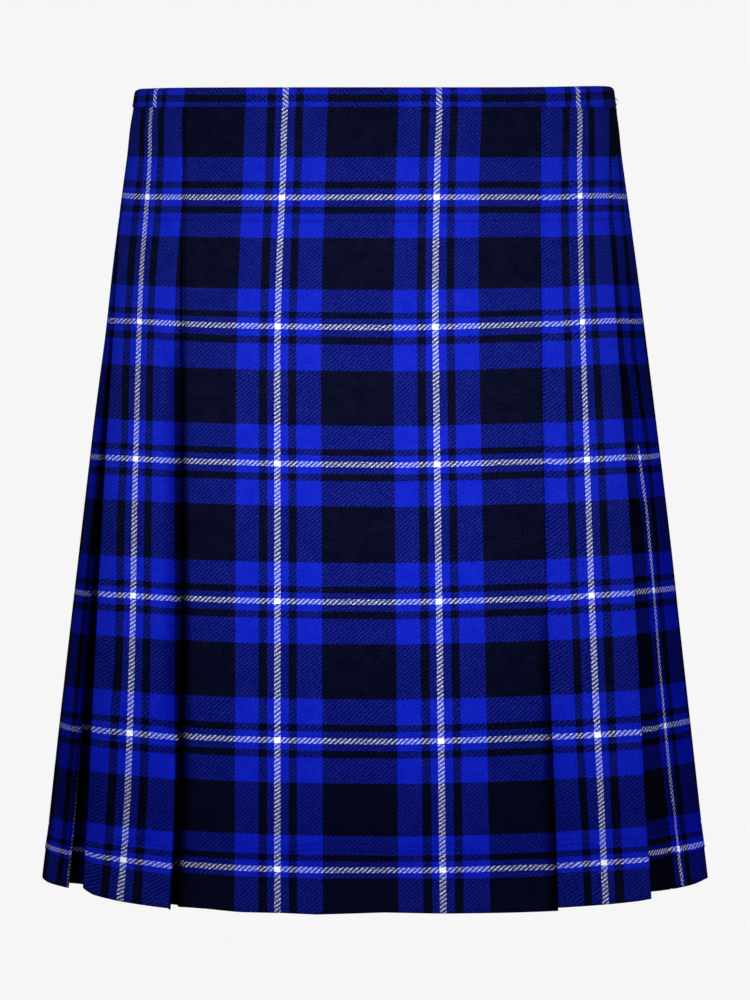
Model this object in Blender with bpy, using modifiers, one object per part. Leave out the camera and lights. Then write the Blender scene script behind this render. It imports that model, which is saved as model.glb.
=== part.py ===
"""Scottish kilt: a knife-pleated tartan skirt in its worn, filled-out form.

Units are metres, +Z is up and the front faces -Y.  The origin is the centre of
the waist ring at mid-height of the waistband.  The cloth is one long strip laid
round the body in knife pleats that all run the same way; it is cut into four
pieces whose joins are hidden on the inner folds.
"""
import math
import bisect

import bpy

# ---------------------------------------------------------------- cloth
WALL = 0.0012            # thickness of the woollen cloth
LAYER = 0.0017           # centre-to-centre distance of two stacked layers
BAND_HEIGHT = 0.015      # waistband, top edge to bottom edge
BAND_TOP = 0.0075
CLOTH_TOP = 0.0030       # top edge of the pleated cloth inside the waistband
DROP = 0.610             # waistband top to hem
YOKE = 0.098             # pleats are sewn down from the waist to this depth
COLUMN_STEP = 0.0150     # widest spacing of mesh columns across a panel
PANEL_START = 0.0078     # distance at which a panel is clear of the fold before
FLARE_POWER = 1.3        # how the stand-off of a fold grows below the yoke

# Body sections: depth below the waistband top, then the half width on the
# +X side and the -X side, the depth to the front and the depth to the back.
SECTIONS = [
    # depth,  right,   left,    front,   back
    (0.0000, 0.1772, 0.1782, 0.1160, 0.1120),
    (0.0610, 0.1863, 0.1872, 0.1208, 0.1290),
    (0.1220, 0.1947, 0.1952, 0.1253, 0.1450),
    (0.1830, 0.2009, 0.2013, 0.1298, 0.1560),
    (0.2620, 0.2077, 0.2104, 0.1351, 0.1640),
    (0.3480, 0.2135, 0.2189, 0.1404, 0.1690),
    (0.4340, 0.2177, 0.2275, 0.1465, 0.1725),
    (0.5200, 0.2218, 0.2358, 0.1523, 0.1760),
    (0.6100, 0.2257, 0.2441, 0.1580, 0.1800),
]
EXPONENT_WAIST = 2.2     # squareness of the section, 2 is an ellipse
EXPONENT_HEM = 2.4

# Outer folds near the front: arc length from the front centre (+ towards +X)
# at each of the fold heights; the stand-off of the fold at the hem and how its
# panel rises to it (1 is straight, below 1 bulges out); and how deep the pleat
# is tucked at the waist and at the hem.
FOLD_HEIGHTS = (0.0, 0.098, 0.240, 0.400, 0.530, 0.610)
FRONT_FOLDS = [
    # waist,  yoke, three heights between,           hem,   stand, rise, tuck top, hem
    (0.1266, 0.1254, 0.1250, 0.1266, 0.1305, 0.1318, 0.016, 1.0, 0.058, 0.058),
    (0.2070, 0.1941, 0.1948, 0.1967, 0.1962, 0.1951, 0.030, 1.1, 0.016, 0.015),
    (0.2221, 0.2134, 0.2184, 0.2312, 0.2484, 0.2575, 0.004, 1.0, 0.0035, 0.0070),
    (0.2420, 0.2405, 0.2535, 0.2700, 0.2872, 0.2965, 0.027, 1.0, 0.010, 0.026),
]
LEFT_FOLDS = [
    # waist,  yoke, three heights between,           hem,   stand, rise, tuck top, hem
    (-0.2260, -0.2335, -0.2292, -0.2310, -0.2328, -0.2355, 0.016, 0.6, 0.046, 0.043),
    (-0.1503, -0.1492, -0.1465, -0.1438, -0.1450, -0.1488, 0.014, 0.5, 0.058, 0.056),
]

# Folds round the side and back: stand-off and rise as above, and a sideways
# shift at the hem.
BACK_FOLDS = [
    # stand, rise, shift
    (0.012, 1.0, 0.000),
    (0.021, 1.1, 0.004),
    (0.018, 0.9, -0.003),
    (0.024, 1.1, 0.002),
    (0.019, 0.8, -0.004),
    (0.022, 0.9, 0.003),
    (0.005, 0.7, -0.002),
]
BACK_TUCK_TOP = 0.046
BACK_TUCK_HEM = 0.036

# How far the hem is lifted above the lowest level, by arc length round it.
HEM_LIFT = [
    # arc,  lift
    (-0.400, 0.0030),
    (-0.297, 0.0060),
    (-0.265, 0.0070),
    (-0.238, 0.0081),
    (-0.230, 0.0063),
    (-0.218, 0.0038),
    (-0.191, 0.0025),
    (-0.150, 0.0009),
    (-0.107, -0.0010),
    (-0.043, -0.0010),
    (0.007, 0.0010),
    (0.048, 0.0002),
    (0.139, -0.0005),
    (0.169, 0.0015),
    (0.189, 0.0040),
    (0.196, 0.0051),
    (0.228, 0.0031),
    (0.251, 0.0012),
    (0.264, -0.0004),
    (0.282, -0.0003),
    (0.297, 0.0029),
    (0.400, 0.0030),
]
HEM_LIFT_FROM = 0.560    # depth at which the lift starts

# ---------------------------------------------------------------- waistband
BAND_GAP = 0.0003        # clear gap between the waistband and the cloth
BAND_COLUMNS = 104
BAND_END_SHARE = 0.247   # where its two ends meet, as a share of the ring
BAND_END_GAP = 0.0006

# ---------------------------------------------------------------- wire eye
EYE_WIRE = 0.0007        # wire diameter
EYE_HEIGHT = 0.0048
EYE_REACH = 0.0030
EYE_Z = -0.0027


def linear(rows, key):
    """Values of a table at a key, straight between rows."""
    if key <= rows[0][0]:
        return rows[0][1:]
    for low, high in zip(rows, rows[1:]):
        if key <= high[0]:
            share = (key - low[0]) / (high[0] - low[0])
            return tuple(a + (b - a) * share for a, b in zip(low[1:], high[1:]))
    return rows[-1][1:]


class Section:
    """Closed horizontal curve of the body at one depth, by arc length."""

    def __init__(self, depth, steps=720):
        self.right, self.left, self.front, self.back = linear(SECTIONS, depth)
        share = min(1.0, max(0.0, depth / DROP))
        self.power = EXPONENT_WAIST + (EXPONENT_HEM - EXPONENT_WAIST) * share
        self.angles = [2.0 * math.pi * i / steps for i in range(steps + 1)]
        self.arc = [0.0]
        last = self.point(0.0)
        for angle in self.angles[1:]:
            here = self.point(angle)
            self.arc.append(self.arc[-1] + math.dist(last, here))
            last = here
        self.length = self.arc[-1]

    def half(self, angle):
        across = self.right if math.sin(angle) >= 0.0 else self.left
        along = self.front if math.cos(angle) >= 0.0 else self.back
        return across, along

    def point(self, angle):
        across, along = self.half(angle)
        s = math.sin(angle)
        c = math.cos(angle)
        x = across * math.copysign(abs(s) ** (2.0 / self.power), s)
        y = -along * math.copysign(abs(c) ** (2.0 / self.power), c)
        return x, y

    def place(self, s, offset):
        """Point at arc length s, moved outward by offset."""
        s = s % self.length
        i = bisect.bisect_right(self.arc, s) - 1
        i = max(0, min(i, len(self.arc) - 2))
        share = (s - self.arc[i]) / (self.arc[i + 1] - self.arc[i])
        angle = self.angles[i] + (self.angles[i + 1] - self.angles[i]) * share
        x, y = self.point(angle)
        across, along = self.half(angle)
        nx = math.copysign(abs(x / across) ** (self.power - 1.0) / across, x)
        ny = math.copysign(abs(y / along) ** (self.power - 1.0) / along, y)
        size = math.hypot(nx, ny)
        return x + offset * nx / size, y + offset * ny / size


def fold_row(row, depth, share, grow, turn):
    """One fold of the two tables: position, stand-off, rise and tuck."""
    spots = list(zip(FOLD_HEIGHTS, row[:6]))
    tuck = row[8] + (row[9] - row[8]) * share
    return linear(spots, depth)[0] + turn, row[6] * grow, row[7], tuck


def fold_table(depth, length):
    """All outer folds at one depth, in order round the body."""
    share = min(1.0, depth / DROP)
    grow = max(0.0, (depth - YOKE) / (DROP - YOKE)) ** FLARE_POWER
    folds = [fold_row(row, depth, share, grow, 0.0) for row in FRONT_FOLDS]
    lefts = [fold_row(row, depth, share, grow, length) for row in LEFT_FOLDS]
    start = folds[-1][0]
    pitch = (lefts[0][0] - start) / (len(BACK_FOLDS) + 1)
    tuck = BACK_TUCK_TOP + (BACK_TUCK_HEM - BACK_TUCK_TOP) * share
    for number, (stand, rise, shift) in enumerate(BACK_FOLDS, start=1):
        spot = start + pitch * number + shift * share
        folds.append((spot, stand * grow, rise, tuck))
    return folds + lefts


def lifted(depth, s, length):
    """Depth of a point once the hem below it is lifted."""
    share = min(1.0, max(0.0, (depth - HEM_LIFT_FROM) / (DROP - HEM_LIFT_FROM)))
    key = s % length
    if key > length / 2.0:
        key -= length
    return depth - linear(HEM_LIFT, key)[0] * share * share * (3.0 - 2.0 * share)


def panel_offset(s, left, fold):
    """Offset of the visible layer of a panel between two outer folds."""
    right, stand, rise, _ = fold
    lift = min(1.0, max(0.0, (s - left - 0.0016) / 0.0060))
    lift = 2.0 * LAYER * lift * lift * (3.0 - 2.0 * lift)
    return lift + stand * ((s - left) / (right - left)) ** rise


def pleat_columns(folds, index, length, open_start):
    """(arc, offset) pairs of one panel, its outer fold and its tucked layers.

    The pairs run from the bottom layer that comes out from under the fold
    before, over the visible panel, round the outer fold and back under it.
    """
    fold = folds[index]
    right = fold[0]
    tuck = fold[3]
    fold_before = folds[index - 1]
    left = fold_before[0]
    before = folds[index - 2][0]
    if index < 1:
        left -= length
    if index < 2:
        before -= length
    shifted = (left, fold_before[1], fold_before[2], fold_before[3])
    tuck_left = fold_before[3]
    layers = 4
    pairs = []
    # bottom layer, under the panel before
    inner = left - tuck_left
    low = panel_offset(inner, before, shifted) - 2.0 * LAYER
    if not open_start:
        for angle in (0.25, 0.5, 0.75):
            turn = math.pi * angle
            pairs.append((inner - LAYER / 2.0 * math.sin(turn),
                          low + LAYER / 2.0 * (1.0 + math.cos(turn))))
    for step in range(layers + 1):
        share = step / layers
        ease = share * share * (3.0 - 2.0 * share)
        pairs.append((inner + tuck_left * share, low * (1.0 - ease)))
    # coming out from under the fold
    for distance in (0.0022, 0.0046, PANEL_START):
        spot = left + distance
        pairs.append((spot, panel_offset(spot, left, fold)))
    # visible panel up to where its own tuck starts, then over the tuck
    start = left + PANEL_START
    clear = right - tuck
    for step in range(1, COUNTS[index] + 1):
        spot = start + (clear - start) * step / COUNTS[index]
        pairs.append((spot, panel_offset(spot, left, fold)))
    for step in range(1, layers + 1):
        spot = clear + tuck * step / layers
        pairs.append((spot, panel_offset(spot, left, fold)))
    # outer fold
    top = panel_offset(right, left, fold)
    for angle in (0.25, 0.5, 0.75):
        turn = math.pi * angle
        pairs.append((right + LAYER / 2.0 * math.sin(turn),
                      top - LAYER / 2.0 * (1.0 - math.cos(turn))))
    # returning layer
    for step in range(layers + 1):
        spot = right - tuck * step / layers
        pairs.append((spot, panel_offset(spot, left, fold) - LAYER))
    return pairs


def panel_counts():
    """Mesh columns across each panel, set by its widest ring."""
    counts = None
    for depth in ring_depths():
        section = Section(depth)
        folds = fold_table(depth, section.length)
        here = []
        for index, (right, _, _, tuck) in enumerate(folds):
            left = folds[index - 1][0] - (section.length if index == 0 else 0.0)
            width = right - tuck - left - PANEL_START
            here.append(max(1, math.ceil(width / COLUMN_STEP)))
        if counts is None:
            counts = here
        counts = [max(a, b) for a, b in zip(counts, here)]
    return counts


def ring_depths():
    """Depths of the mesh rings below the waistband top."""
    depths = [row[0] for row in SECTIONS]
    depths[0] = BAND_TOP - CLOTH_TOP
    return depths


def add_sheet(name, rings, runs_back, material):
    """Skin rows of points into a sheet and give it the cloth's thickness.

    Each cell is split along the diagonal that goes down and forward, so
    stacked layers that run opposite ways keep the same shape.
    """
    across = len(rings[0])
    points = [point for ring in rings for point in ring]
    faces = []
    for row in range(len(rings) - 1):
        for column in range(across - 1):
            top_a = row * across + column
            top_b = top_a + 1
            low_a = top_a + across
            low_b = top_b + across
            if runs_back[column]:
                faces.append((top_a, low_a, top_b))
                faces.append((low_a, low_b, top_b))
            else:
                faces.append((top_a, low_a, low_b))
                faces.append((top_a, low_b, top_b))
    mesh = bpy.data.meshes.new(name)
    mesh.from_pydata(points, [], faces)
    mesh.materials.append(material)
    item = bpy.data.objects.new(name, mesh)
    collection.objects.link(item)
    solid = item.modifiers.new("wall", "SOLIDIFY")
    solid.thickness = WALL
    solid.offset = 0.0
    solid.use_even_offset = True
    solid.use_rim = True
    for face in mesh.polygons:
        face.use_smooth = True
    return item


def add_material(name, colour, roughness, metallic=0.0):
    material = bpy.data.materials.new(name)
    material.use_nodes = True
    shader = material.node_tree.nodes["Principled BSDF"]
    shader.inputs["Base Color"].default_value = (*colour, 1.0)
    shader.inputs["Roughness"].default_value = roughness
    shader.inputs["Metallic"].default_value = metallic
    return material


def build_cloth(name, first, last, material):
    """One cloth piece: the panels first..last with their folds."""
    rings = []
    for depth in ring_depths():
        section = Section(depth)
        folds = fold_table(depth, section.length)
        pairs = []
        for index in range(first, last + 1):
            pairs += pleat_columns(folds, index, section.length, index == first)
        ring = []
        for s, offset in pairs:
            x, y = section.place(s, offset)
            ring.append((x, y, BAND_TOP - lifted(depth, s, section.length)))
        rings.append(ring)
    runs_back = [after[0] < here[0] for here, after in zip(pairs, pairs[1:])]
    return add_sheet(name, rings, runs_back, material)


def build_waistband(material):
    """Strip folded over the top edge: outer face, rolled top, inner face."""
    outer = 2.0 * LAYER + WALL + BAND_GAP
    inner = -(WALL + BAND_GAP + 0.0002)
    middle = (outer + inner) / 2.0
    reach = (outer - inner) / 2.0
    bottom = BAND_TOP - BAND_HEIGHT
    spring = 0.0032
    crown = BAND_TOP - WALL / 2.0 - spring
    profile = [(outer, bottom), (outer, spring)]
    for angle in (30, 60, 90, 120, 150):
        turn = math.radians(angle)
        profile.append((middle + reach * math.cos(turn), spring + crown * math.sin(turn)))
    profile += [(inner, spring), (inner, bottom)]
    rings = []
    for offset, z in profile:
        section = Section(BAND_TOP - z)
        start = BAND_END_SHARE * section.length + BAND_END_GAP / 2.0
        run = section.length - BAND_END_GAP
        ring = []
        for column in range(BAND_COLUMNS + 1):
            x, y = section.place(start + run * column / BAND_COLUMNS, offset)
            ring.append((x, y, z))
        rings.append(ring)
    return add_sheet("waistband", rings, [False] * BAND_COLUMNS, material)


def build_eye(material):
    """Closed wire loop standing out at the waistband's end."""
    section = Section(BAND_TOP - EYE_Z)
    face = 2.0 * LAYER + WALL * 1.5 + BAND_GAP
    x, y = section.place(BAND_END_SHARE * section.length - 0.003, face)
    centre_x = x + 0.0003 + EYE_WIRE / 2.0 + EYE_REACH / 2.0
    rings = []
    for turn in range(20):
        angle = 2.0 * math.pi * turn / 20
        ring = []
        for step in range(8):
            round_ = 2.0 * math.pi * step / 8
            out = EYE_WIRE / 2.0 * math.cos(round_)
            side = EYE_WIRE / 2.0 * math.sin(round_)
            ring.append((centre_x + (EYE_REACH / 2.0 + out) * math.cos(angle),
                         y + side,
                         EYE_Z + (EYE_HEIGHT / 2.0 + out) * math.sin(angle)))
        rings.append(ring)
    rings.append(rings[0])
    points = [point for ring in rings[:-1] for point in ring]
    faces = []
    for row in range(20):
        after_row = (row + 1) % 20
        for column in range(8):
            after = (column + 1) % 8
            faces.append((row * 8 + column, row * 8 + after,
                          after_row * 8 + after, after_row * 8 + column))
    mesh = bpy.data.meshes.new("waist_eye")
    mesh.from_pydata(points, [], faces)
    mesh.materials.append(material)
    for face_ in mesh.polygons:
        face_.use_smooth = True
    item = bpy.data.objects.new("waist_eye", mesh)
    collection.objects.link(item)
    return item


for old in list(bpy.data.objects):
    bpy.data.objects.remove(old, do_unlink=True)
collection = bpy.data.collections.new("scottish kilt")
bpy.context.scene.collection.children.link(collection)

COUNTS = panel_counts()
tartan_front = add_material("front apron tartan", (0.012, 0.018, 0.300), 0.9)
tartan_right = add_material("right pleat tartan", (0.012, 0.018, 0.280), 0.9)
tartan_back = add_material("back pleat tartan", (0.012, 0.018, 0.260), 0.9)
tartan_left = add_material("left pleat tartan", (0.012, 0.018, 0.290), 0.9)
tartan_band = add_material("waistband tartan", (0.012, 0.018, 0.340), 0.9)
wire = add_material("eye wire", (0.450, 0.450, 0.460), 0.35, 1.0)

build_cloth("front_apron", 0, 0, tartan_front)
build_cloth("right_pleats", 1, 4, tartan_right)
build_cloth("back_pleats", 5, 8, tartan_back)
build_cloth("left_pleats", 9, 12, tartan_left)
build_waistband(tartan_band)
build_eye(wire)
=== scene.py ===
import bisect
import math

import bpy
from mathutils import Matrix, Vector


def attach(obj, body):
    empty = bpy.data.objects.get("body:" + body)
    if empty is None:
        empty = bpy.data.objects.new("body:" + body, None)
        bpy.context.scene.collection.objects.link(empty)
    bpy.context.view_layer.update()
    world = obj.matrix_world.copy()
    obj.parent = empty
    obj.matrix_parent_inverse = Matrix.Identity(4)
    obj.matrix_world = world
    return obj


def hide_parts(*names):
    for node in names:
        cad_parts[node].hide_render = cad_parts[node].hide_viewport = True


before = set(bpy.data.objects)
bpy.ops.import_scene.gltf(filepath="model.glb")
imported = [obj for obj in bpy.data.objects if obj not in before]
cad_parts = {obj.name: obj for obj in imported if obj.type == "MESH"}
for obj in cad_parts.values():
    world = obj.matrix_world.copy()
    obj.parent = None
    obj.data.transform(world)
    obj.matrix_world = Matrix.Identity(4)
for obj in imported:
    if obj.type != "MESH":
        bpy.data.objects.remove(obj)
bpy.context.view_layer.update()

# ---------------------------------------------------------------------------
# Camera, studio light and pale ground.  A long lens at waist height looks
# slightly down at the middle of the kilt; a soft spot lights it from the
# front and a weaker one from each side.
# ---------------------------------------------------------------------------
CAMERA_DISTANCE = 3.8
CAMERA_HEIGHT = -0.010
CAMERA_TILT = 4.497      # degrees below level
SENSOR = 36.0
LENS = 177.984
PALE = (0.9216, 0.9216, 0.9216, 1.0)
ROOM_GLOW = 0.14
GROUND_DEPTH = 1.45

camera_data = bpy.data.cameras.new("camera")
camera_data.sensor_fit = "AUTO"
camera_data.sensor_width = SENSOR
camera_data.lens = LENS
camera = bpy.data.objects.new("camera", camera_data)
camera.location = (0.0, -CAMERA_DISTANCE, CAMERA_HEIGHT)
camera.rotation_euler = (math.radians(90.0 - CAMERA_TILT), 0.0, 0.0)
bpy.context.scene.collection.objects.link(camera)
bpy.context.scene.camera = camera
bpy.context.scene.view_settings.view_transform = "Standard"
bpy.context.scene.view_settings.look = "None"

world = bpy.data.worlds.new("studio")
bpy.context.scene.world = world
world.use_nodes = True
tree = world.node_tree
tree.nodes.clear()
output = tree.nodes.new("ShaderNodeOutputWorld")
seen = tree.nodes.new("ShaderNodeBackground")
seen.inputs["Color"].default_value = PALE
seen.inputs["Strength"].default_value = 1.0
glow = tree.nodes.new("ShaderNodeBackground")
glow.inputs["Color"].default_value = (1.0, 1.0, 1.0, 1.0)
glow.inputs["Strength"].default_value = ROOM_GLOW
path = tree.nodes.new("ShaderNodeLightPath")
choose = tree.nodes.new("ShaderNodeMixShader")
tree.links.new(path.outputs["Is Camera Ray"], choose.inputs["Fac"])
tree.links.new(glow.outputs["Background"], choose.inputs[1])
tree.links.new(seen.outputs["Background"], choose.inputs[2])
tree.links.new(choose.outputs["Shader"], output.inputs["Surface"])


def spot_light(name, spot, aim, size, power, cone):
    """One round studio spot with a soft edge that shines towards aim."""
    data = bpy.data.lights.new(name, "SPOT")
    data.shadow_soft_size = size
    data.energy = power
    data.spot_size = math.radians(cone)
    data.spot_blend = 1.0
    lamp = bpy.data.objects.new(name, data)
    lamp.location = spot
    lamp.rotation_euler = (Vector(aim) - Vector(spot)).to_track_quat("-Z", "Y").to_euler()
    bpy.context.scene.collection.objects.link(lamp)
    return lamp


spot_light("front spot", (0.00, -3.0, 0.10), (0.00, 0.0, -0.25), 0.30, 360.0, 22.5)
spot_light("left fill", (-2.7, -1.3, 0.0), (0.00, 0.0, -0.30), 0.50, 82.0, 40.0)
spot_light("right fill", (2.7, -1.3, 0.0), (0.00, 0.0, -0.30), 0.50, 80.0, 40.0)

bpy.ops.mesh.primitive_plane_add(size=14.0, location=(0.0, 0.0, -GROUND_DEPTH))
ground = bpy.context.object
ground.name = "pale_studio_ground"
ground_paint = bpy.data.materials.new("pale ground")
ground_paint.use_nodes = True
tree = ground_paint.node_tree
tree.nodes.clear()
output = tree.nodes.new("ShaderNodeOutputMaterial")
matt = tree.nodes.new("ShaderNodeBsdfDiffuse")
matt.inputs["Color"].default_value = (0.8, 0.8, 0.8, 1.0)
seen = tree.nodes.new("ShaderNodeEmission")
seen.inputs["Color"].default_value = PALE
seen.inputs["Strength"].default_value = 1.0
path = tree.nodes.new("ShaderNodeLightPath")
choose = tree.nodes.new("ShaderNodeMixShader")
tree.links.new(path.outputs["Is Camera Ray"], choose.inputs["Fac"])
tree.links.new(matt.outputs["BSDF"], choose.inputs[1])
tree.links.new(seen.outputs["Emission"], choose.inputs[2])
tree.links.new(choose.outputs["Shader"], output.inputs["Surface"])
ground.data.materials.append(ground_paint)

# ---------------------------------------------------------------------------
# Front apron: the broad flat front panel of woollen tartan twill, with the
# pleat that closes its right edge; sewn into the waistband at the top.
# ---------------------------------------------------------------------------
WALL = 0.0012            # thickness of the woollen cloth
LAYER = 0.0017           # from the middle of one stacked layer to the next
BAND_TOP = 0.0075        # height of the waistband's top edge
CLOTH_TOP = 0.0030       # height of the pleated cloth's top edge inside it
DROP = 0.610             # waistband top to hem
YOKE = 0.098             # pleats are sewn down from the waist to this depth
HEM_STITCH = 0.5635      # depth of the hem's stitching
HEM_TUCK = 0.584         # depth of the small tuck below it
FLARE_POWER = 1.3        # how the stand-off of a fold grows below the yoke
EXPONENT_WAIST = 2.2     # squareness of the section, 2 is an ellipse
EXPONENT_HEM = 2.4
PANEL_START = 0.0078     # distance at which a panel is clear of the fold before
COLUMN_STEP = 0.0040     # widest spacing of mesh columns across a panel
RING_COUNT = 130

# body form: depth below the top, half width right and left, front, back
SECTIONS = [
    (0.0000, 0.1772, 0.1782, 0.1160, 0.1120),
    (0.0610, 0.1863, 0.1872, 0.1208, 0.1290),
    (0.1220, 0.1947, 0.1952, 0.1253, 0.1450),
    (0.1830, 0.2009, 0.2013, 0.1298, 0.1560),
    (0.2620, 0.2077, 0.2104, 0.1351, 0.1640),
    (0.3480, 0.2138, 0.2191, 0.1404, 0.1690),
    (0.4340, 0.2182, 0.2280, 0.1465, 0.1725),
    (0.5200, 0.2224, 0.2367, 0.1523, 0.1760),
    (0.6100, 0.2265, 0.2451, 0.1580, 0.1800),
]
# folds near the front: arc length at each of FOLD_HEIGHTS, stand-off at the
# hem, how late it rises, tuck at the waist and at the hem, and the ramp up
# which the panel climbs out from under the fold before it
FOLD_HEIGHTS = (0.0, 0.098, 0.240, 0.400, 0.530, 0.610)
RAMP = 0.0076
FRONT_FOLDS = [
    (0.1252, 0.1240, 0.1236, 0.1252, 0.1291, 0.1304, 0.016, 1.0, 0.058, 0.058, RAMP),
    (0.2026, 0.1912, 0.1936, 0.1955, 0.1946, 0.1952, 0.030, 1.1, 0.016, 0.015, RAMP),
    (0.2200, 0.2117, 0.2170, 0.2298, 0.2470, 0.2561, 0.004, 1.0, 0.0035, 0.0070, RAMP),
    (0.2420, 0.2405, 0.2535, 0.2700, 0.2872, 0.2965, 0.027, 1.0, 0.010, 0.026, RAMP),
]
LEFT_FOLDS = [
    (-0.2274, -0.2349, -0.2306, -0.2324, -0.2342, -0.2369, 0.016, 0.6, 0.046, 0.043, RAMP),
    (-0.1517, -0.1506, -0.1479, -0.1452, -0.1464, -0.1502, 0.014, 0.5, 0.058, 0.056, 0.0042),
]
# folds across the back: stand-off at the hem, how late it rises, shift at the hem
BACK_FOLDS = [
    (0.012, 1.0, 0.000),
    (0.021, 1.1, 0.004),
    (0.018, 0.9, -0.003),
    (0.024, 1.1, 0.002),
    (0.019, 0.8, -0.004),
    (0.022, 0.9, 0.003),
    (0.005, 0.7, -0.002),
]
BACK_TUCK_TOP = 0.046
BACK_TUCK_HEM = 0.036

# how far the hem is lifted above the lowest level, by arc length round it
HEM_LIFT = [
    # arc,  lift
    (-0.400, 0.0036),
    (-0.297, 0.0068),
    (-0.265, 0.0070),
    (-0.238, 0.0081),
    (-0.230, 0.0063),
    (-0.218, 0.0038),
    (-0.191, 0.0021),
    (-0.150, 0.0005),
    (-0.149, -0.0010),
    (-0.142, -0.0002),
    (-0.125, -0.0004),
    (-0.100, -0.0017),
    (-0.068, -0.0013),
    (-0.043, -0.0019),
    (0.007, 0.0003),
    (0.048, -0.0004),
    (0.139, -0.0006),
    (0.169, 0.0014),
    (0.189, 0.0031),
    (0.196, 0.0044),
    (0.228, 0.0025),
    (0.251, 0.0006),
    (0.264, -0.0006),
    (0.282, 0.0002),
    (0.297, 0.0029),
    (0.400, 0.0030),
]
HEM_LIFT_FROM = 0.560    # depth at which the lift starts

# The tartan as counts of threads, from the middle of one white line to the
# next: its colours alternate between blue and black at these edges.
THREADS_ACROSS = 142
WARP_EDGES = (9.5, 16.8, 39.1, 104.1, 125.3, 132.7)
THREADS_DOWN = 127
WEFT_EDGES = (8.7, 15.6, 39.3, 91.4, 112.7, 118.9)
THREAD = 0.000806        # spacing of the warp threads
WARP_WHITE = 2.75        # half the white line, in threads
WEFT_WHITE = 2.5

# Where the stripes of each front panel run: arc lengths of the edges of its
# broad blue, of the narrow black lines and of the middle of its white line.
APRON_LINES = [
    # depth, white, next white
    (0.004, -0.0661, 0.0478),
    (0.061, -0.0679, 0.0458),
    (0.145, -0.0711, 0.0444),
    (0.200, -0.0721, 0.0446),
    (0.320, -0.0719, 0.0460),
    (0.434, -0.0718, 0.0474),
    (0.610, -0.0716, 0.0494),
]
APRON_FIRST_THREAD = -102.5
LEFT_THREADS = [edge - THREADS_ACROSS for edge in WARP_EDGES[3:]] + [0.0, *WARP_EDGES[:3]]
LEFT_LINES = [
    # depth, edge, black line, white, black line, edge
    (0.004, -0.2360, -0.2003, -0.1905, -0.1838, -0.1762, -0.1676, -0.1511),
    (0.061, -0.2370, -0.1990, -0.1904, -0.1835, -0.1752, -0.1670, -0.1501),
    (0.098, -0.2390, -0.2042, -0.1944, -0.1852, -0.1765, -0.1681, -0.1503),
    (0.145, -0.2415, -0.2073, -0.1967, -0.1882, -0.1800, -0.1708, -0.1532),
    (0.200, -0.2420, -0.2073, -0.1994, -0.1879, -0.1798, -0.1712, -0.1532),
    (0.262, -0.2392, -0.2045, -0.1998, -0.1867, -0.1784, -0.1704, -0.1514),
    (0.320, -0.2404, -0.2044, -0.2008, -0.1865, -0.1771, -0.1701, -0.1501),
    (0.380, -0.2392, -0.2024, -0.2009, -0.1854, -0.1760, -0.1688, -0.1486),
    (0.434, -0.2386, -0.2021, -0.2003, -0.1850, -0.1756, -0.1680, -0.1478),
    (0.480, -0.2390, -0.2034, -0.2009, -0.1853, -0.1758, -0.1677, -0.1472),
    (0.520, -0.2405, -0.2038, -0.2010, -0.1861, -0.1761, -0.1679, -0.1469),
    (0.565, -0.2440, -0.2057, -0.2022, -0.1877, -0.1783, -0.1693, -0.1473),
    (0.610, -0.2479, -0.2095, -0.2040, -0.1910, -0.1805, -0.1711, -0.1492),
]
RIGHT_THREADS = LEFT_THREADS[1:6]
RIGHT_ENDS = (-38.4, 38.0)   # threads on the fold at its left, and at most at its right
RIGHT_LINES = [
    # depth, black line, white, black line
    (0.004, 0.1455, 0.1514, 0.1620, 0.1706, 0.1779),
    (0.061, 0.1436, 0.1493, 0.1606, 0.1692, 0.1766),
    (0.098, 0.1421, 0.1483, 0.1598, 0.1680, 0.1733),
    (0.145, 0.1427, 0.1483, 0.1594, 0.1668, 0.1731),
    (0.200, 0.1440, 0.1489, 0.1598, 0.1674, 0.1743),
    (0.262, 0.1445, 0.1495, 0.1606, 0.1689, 0.1756),
    (0.320, 0.1452, 0.1502, 0.1614, 0.1693, 0.1760),
    (0.380, 0.1469, 0.1516, 0.1624, 0.1699, 0.1764),
    (0.434, 0.1486, 0.1535, 0.1637, 0.1703, 0.1770),
    (0.480, 0.1499, 0.1543, 0.1648, 0.1711, 0.1773),
    (0.520, 0.1514, 0.1557, 0.1660, 0.1719, 0.1778),
    (0.565, 0.1534, 0.1576, 0.1670, 0.1724, 0.1786),
    (0.610, 0.1547, 0.1587, 0.1681, 0.1734, 0.1792),
]
NARROW_LINES = [
    # depth, where the broad blue starts
    (0.0040, 0.2260),
    (0.0480, 0.2260),
    (0.0520, 0.2032),
    (0.0610, 0.2018),
    (0.0980, 0.1980),
    (0.1230, 0.2000),
    (0.1590, 0.2023),
    (0.1980, 0.2049),
    (0.2260, 0.2112),
    (0.2450, 0.2134),
    (0.2700, 0.2143),
    (0.3000, 0.2180),
    (0.3300, 0.2235),
    (0.4000, 0.2298),
    (0.5300, 0.2470),
    (0.6100, 0.2561),
]
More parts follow.
